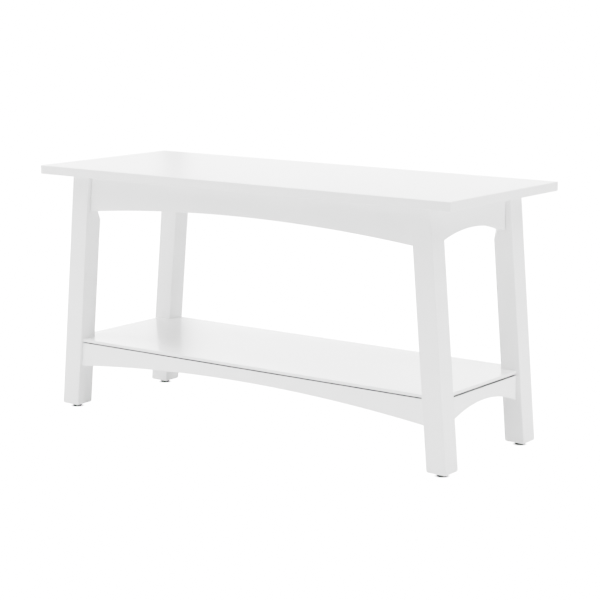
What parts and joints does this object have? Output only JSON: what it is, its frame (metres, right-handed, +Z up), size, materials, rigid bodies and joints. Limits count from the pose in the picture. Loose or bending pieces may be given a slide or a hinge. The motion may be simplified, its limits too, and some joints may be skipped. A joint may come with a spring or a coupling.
{
  "type": "console table",
  "caption": "Low console table: flat rectangular top on splayed square legs, with arched aprons, arched lower rails, a thin-edged shelf on the rails and black levelling feet.",
  "frame": {"origin": "on the floor, under the middle of the top", "axes": "+X along the length, +Y to the rear (the wall side), +Z up"},
  "size_m": [1.2, 0.472, 0.621],
  "materials": {
    "top_lacquer": "white satin lacquer on board",
    "shelf_lacquer": "white satin lacquer on board, a little glossier",
    "apron_lacquer": "white satin lacquer on wood",
    "rail_lacquer": "white satin lacquer on wood",
    "cleat_lacquer": "white satin lacquer on wood",
    "leg_lacquer": "white satin lacquer on wood",
    "bare_wood": "planed, unpainted",
    "zinc_steel": "bright zinc plating",
    "insert_steel": "bright zinc plating",
    "black_plastic": "moulded, matt",
    "stem_steel": "bright zinc plating"
  },
  "bodies": {
    "table": {"top": "top_lacquer", "shelf": "shelf_lacquer", "front_apron": "apron_lacquer", "rear_apron": "apron_lacquer", "left_apron": "apron_lacquer", "right_apron": "apron_lacquer", "front_rail": "rail_lacquer", "rear_rail": "rail_lacquer", "left_rail": "rail_lacquer", "right_rail": "rail_lacquer", "front_cleat": "cleat_lacquer", "rear_cleat": "cleat_lacquer", "leg_front_left": "leg_lacquer", "leg_front_right": "leg_lacquer", "leg_rear_left": "leg_lacquer", "leg_rear_right": "leg_lacquer", "corner_block_front_left": "bare_wood", "corner_block_front_right": "bare_wood", "corner_block_rear_left": "bare_wood", "corner_block_rear_right": "bare_wood", "block_bolt_front_left": "zinc_steel", "block_bolt_front_right": "zinc_steel", "block_bolt_rear_left": "zinc_steel", "block_bolt_rear_right": "zinc_steel", "block_nut_front_left": "zinc_steel", "block_nut_front_right": "zinc_steel", "block_nut_rear_left": "zinc_steel", "block_nut_rear_right": "zinc_steel", "rail_bolt_front_left": "zinc_steel", "rail_bolt_front_right": "zinc_steel", "rail_bolt_rear_left": "zinc_steel", "rail_bolt_rear_right": "zinc_steel", "rail_nut_front_left": "zinc_steel", "rail_nut_front_right": "zinc_steel", "rail_nut_rear_left": "zinc_steel", "rail_nut_rear_right": "zinc_steel", "top_screw_front_left": "zinc_steel", "top_screw_front_right": "zinc_steel", "top_screw_rear_left": "zinc_steel", "top_screw_rear_right": "zinc_steel", "shelf_screw_front_left": "zinc_steel", "shelf_screw_front_right": "zinc_steel", "shelf_screw_rear_left": "zinc_steel", "shelf_screw_rear_right": "zinc_steel", "foot_insert_front_left": "insert_steel", "foot_insert_front_right": "insert_steel", "foot_insert_rear_left": "insert_steel", "foot_insert_rear_right": "insert_steel"},
    "foot_front_left": {"foot_pad_front_left": "black_plastic", "foot_stem_front_left": "stem_steel"},
    "foot_front_right": {"foot_pad_front_right": "black_plastic", "foot_stem_front_right": "stem_steel"},
    "foot_rear_left": {"foot_pad_rear_left": "black_plastic", "foot_stem_rear_left": "stem_steel"},
    "foot_rear_right": {"foot_pad_rear_right": "black_plastic", "foot_stem_rear_right": "stem_steel"}
  },
  "joints": [
    {"name": "foot_front_left_screw", "type": "slide", "parent": "table", "child": "foot_front_left", "axis": [0, 0, -1], "range_m": [0, 0.012]},
    {"name": "foot_front_right_screw", "type": "slide", "parent": "table", "child": "foot_front_right", "axis": [0, 0, -1], "range_m": [0, 0.012]},
    {"name": "foot_rear_left_screw", "type": "slide", "parent": "table", "child": "foot_rear_left", "axis": [0, 0, -1], "range_m": [0, 0.012]},
    {"name": "foot_rear_right_screw", "type": "slide", "parent": "table", "child": "foot_rear_right", "axis": [0, 0, -1], "range_m": [0, 0.012]}
  ]
}
